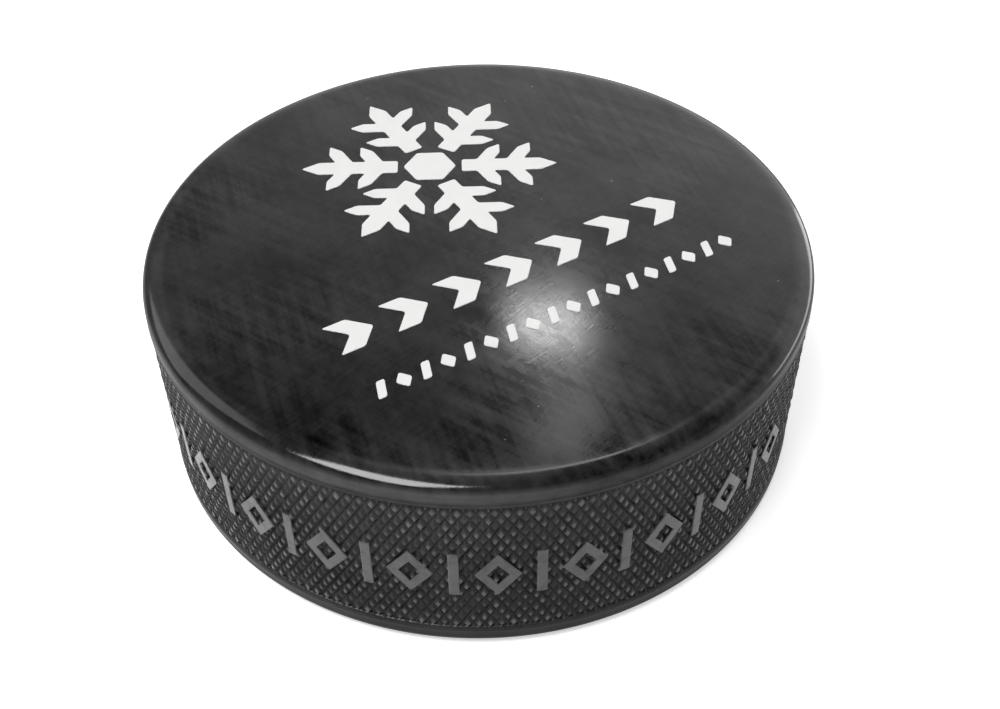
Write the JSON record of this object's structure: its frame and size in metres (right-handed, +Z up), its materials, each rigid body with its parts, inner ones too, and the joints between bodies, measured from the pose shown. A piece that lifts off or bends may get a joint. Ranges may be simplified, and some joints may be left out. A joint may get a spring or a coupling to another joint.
{
  "type": "hockey puck",
  "caption": "Ice hockey puck: a flat rubber disc with rounded shoulders, a diamond-knurled edge with a raised frieze, and a white print on one face.",
  "frame": {"origin": "centre of the lower flat face, which the puck rests on", "axes": "+Z up through both faces to the printed one, +X along the print's reading direction, +Y across it towards the emblem"},
  "size_m": [0.0762, 0.0762, 0.0255],
  "materials": {
    "rubber": "satin",
    "print_ink": "satin"
  },
  "bodies": {
    "root": {"puck_body": "rubber", "emblem_hub": "print_ink", "emblem_arm_1": "print_ink", "emblem_arm_2": "print_ink", "emblem_arm_3": "print_ink", "emblem_arm_4": "print_ink", "emblem_arm_5": "print_ink", "emblem_arm_6": "print_ink", "title_chevron_1": "print_ink", "title_chevron_2": "print_ink", "title_chevron_3": "print_ink", "title_chevron_4": "print_ink", "title_chevron_5": "print_ink", "title_chevron_6": "print_ink", "title_chevron_7": "print_ink", "small_mark_1": "print_ink", "small_mark_2": "print_ink", "small_mark_3": "print_ink", "small_mark_4": "print_ink", "small_mark_5": "print_ink", "small_mark_6": "print_ink", "small_mark_7": "print_ink", "small_mark_8": "print_ink", "small_mark_9": "print_ink", "small_mark_10": "print_ink", "small_mark_11": "print_ink", "small_mark_12": "print_ink", "small_mark_13": "print_ink", "small_mark_14": "print_ink", "small_mark_15": "print_ink", "small_mark_16": "print_ink", "small_mark_17": "print_ink", "small_mark_18": "print_ink"}
  },
  "joints": []
}
